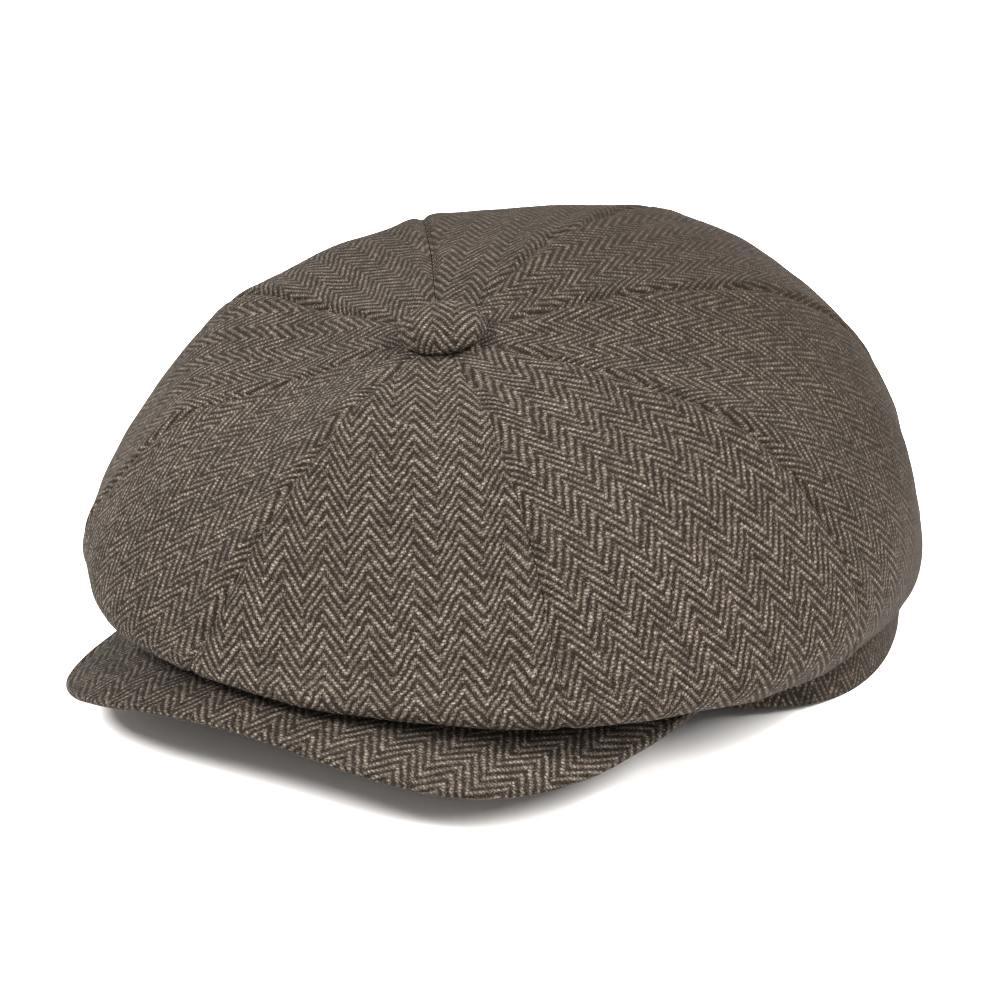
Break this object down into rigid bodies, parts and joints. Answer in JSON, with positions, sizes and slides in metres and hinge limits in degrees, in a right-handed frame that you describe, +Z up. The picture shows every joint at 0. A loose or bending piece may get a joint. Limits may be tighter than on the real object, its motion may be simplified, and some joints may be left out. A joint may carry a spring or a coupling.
{
  "type": "newsboy cap",
  "caption": "Soft panelled cap in herringbone wool tweed: full slouching crown with a covered button, fabric headband and a stiffened cloth peak in front.",
  "frame": {"origin": "centre of the head opening, on the plane the cap stands on", "axes": "+Z up through the crown; -Y out over the peak, so +Y points to the back of the head; +X to the wearer's left"},
  "size_m": [0.2266, 0.2615, 0.1099],
  "materials": {
    "tweed": "woollen herringbone twill, brushed, taupe brown",
    "satin_lining": "smooth satin",
    "cotton_twill": "fine cotton twill",
    "canvas": "stiff plain-weave canvas",
    "stiffener_board": "matt sheet plastic",
    "plated_metal": "pressed plated sheet and wire",
    "thread": "strong twisted thread"
  },
  "bodies": {
    "cap": {"crown_panel_1": "tweed", "lining_panel_1": "satin_lining", "crown_panel_2": "tweed", "lining_panel_2": "satin_lining", "crown_panel_3": "tweed", "lining_panel_3": "satin_lining", "crown_panel_4": "tweed", "lining_panel_4": "satin_lining", "crown_panel_5": "tweed", "lining_panel_5": "satin_lining", "crown_panel_6": "tweed", "lining_panel_6": "satin_lining", "crown_panel_7": "tweed", "lining_panel_7": "satin_lining", "crown_panel_8": "tweed", "lining_panel_8": "satin_lining", "crown_patch": "canvas", "outer_headband": "tweed", "headband_interlining": "canvas", "sweatband": "cotton_twill", "button_cover": "tweed", "button_shell": "plated_metal", "button_back_plate": "plated_metal", "button_shank_loop": "plated_metal", "button_thread": "thread"},
    "peak": {"peak_top_cover": "tweed", "peak_stiffener": "stiffener_board", "peak_under_cover": "tweed"}
  },
  "joints": [
    {"name": "peak_tilt", "type": "hinge", "parent": "cap", "child": "peak", "pos_m": [0, -0.045, 0.0145], "axis": [1, 0, 0], "range_deg": [0, 4], "stiffness_Nm_per_rad": 1}
  ]
}
